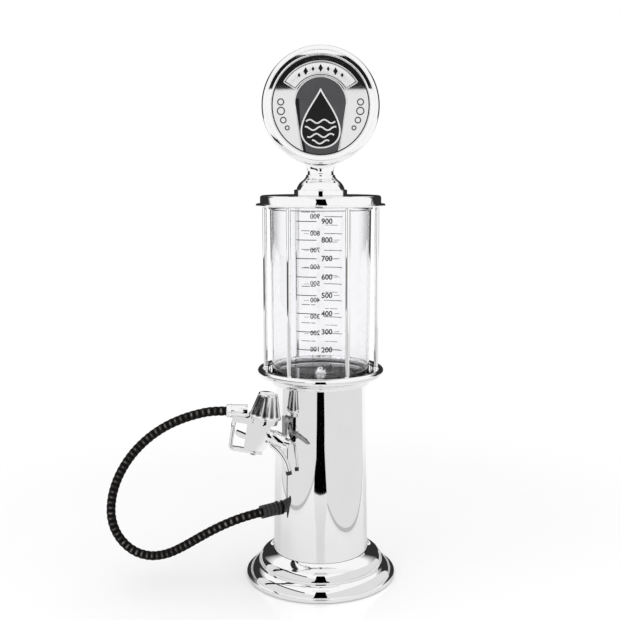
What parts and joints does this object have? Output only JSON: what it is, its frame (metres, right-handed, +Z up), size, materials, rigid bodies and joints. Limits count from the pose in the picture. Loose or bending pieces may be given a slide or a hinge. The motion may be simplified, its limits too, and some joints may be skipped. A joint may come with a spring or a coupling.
{
  "type": "gas pump drinks dispenser",
  "caption": "Table-top drinks dispenser styled as an old fuel pump: chromed column, clear measuring canister, round globe stopper, ribbed hose and trigger nozzle.",
  "frame": {"origin": "centre of the base pad's underside, on the surface that it stands on", "axes": "+Z up; -Y is the front that the globe and the measuring scale face; the hose loop is on the -X side"},
  "size_m": [0.2629, 0.138, 0.48],
  "materials": {
    "chrome": "polished chrome plate",
    "sign_plate": "polished plate with dark filled line engraving",
    "steel": "plain steel",
    "brass": "machined brass",
    "clear_plastic": "clear moulded acrylic with a printed scale",
    "clear_tube": "translucent flexible tube",
    "black_plastic": "moulded black plastic",
    "hose_black": "ribbed black flexible hose",
    "black_rubber": "soft black rubber"
  },
  "bodies": {
    "pump_body": {"base_pad": "black_rubber", "base_plate": "steel", "base_shell": "chrome", "base_collar": "chrome", "column_foot": "black_plastic", "base_screws": "steel", "column_tube": "chrome", "hose_gland": "black_plastic", "gland_nut": "steel", "canister_ring": "chrome", "canister": "clear_plastic", "canister_gasket": "black_rubber", "canister_top_seal": "black_rubber", "tie_rod_1": "chrome", "tie_rod_2": "chrome", "tie_rod_3": "chrome", "tie_rod_4": "chrome", "tie_rod_5": "chrome", "tie_rod_6": "chrome", "rod_nuts": "steel", "cap_plate": "steel", "top_cap": "chrome", "filler_collar": "black_plastic", "drain_fitting": "brass", "drain_nut": "steel", "drain_strainer": "chrome", "drain_tube": "clear_tube", "hose": "hose_black", "cradle_plate": "chrome", "cradle_screws": "steel", "nozzle_cradle": "chrome"},
    "filler_stopper": {"stopper_plug": "black_plastic", "stopper_seal": "black_rubber", "stopper_bell": "chrome", "globe_stud": "steel", "globe_nuts": "steel", "globe_drum": "chrome", "globe_front_bezel": "chrome", "globe_back_bezel": "chrome", "globe_front_plate": "sign_plate", "globe_back_plate": "sign_plate"},
    "nozzle": {"nozzle_body": "chrome", "hose_ferrule": "chrome", "hose_barb": "brass", "trigger_guard": "chrome", "guard_screw": "steel", "bonnet": "chrome", "spout_collar": "chrome", "spout": "chrome", "spout_tip": "black_rubber", "valve_seat": "brass", "trigger_pin": "steel", "valve_spring": "steel"},
    "trigger": {"trigger": "chrome"},
    "valve_plunger": {"valve_stem": "steel", "valve_seal": "black_rubber"}
  },
  "joints": [
    {"name": "stopper_lift", "type": "slide", "parent": "pump_body", "child": "filler_stopper", "axis": [0, 0, 1], "range_m": [0, 0.045]},
    {"name": "nozzle_unhook", "type": "slide", "parent": "pump_body", "child": "nozzle", "axis": [0.1524, -0.9272, 0.3422], "range_m": [0, 0.03]},
    {"name": "trigger_pull", "type": "hinge", "parent": "nozzle", "child": "trigger", "pos_m": [-0.04721, -0.04, 0.13899], "axis": [0, 1, 0], "range_deg": [0, 14], "stiffness_Nm_per_rad": 0.04, "springref_deg": -8.59},
    {"name": "valve_lift", "type": "slide", "parent": "nozzle", "child": "valve_plunger", "axis": [0.1564, 0, 0.9877], "range_m": [0, 0.0013], "deforming": ["valve_spring"]}
  ],
  "couplings": [
    {"joint": "valve_lift", "follows": "trigger_pull", "m_per_rad": 0.0049}
  ]
}
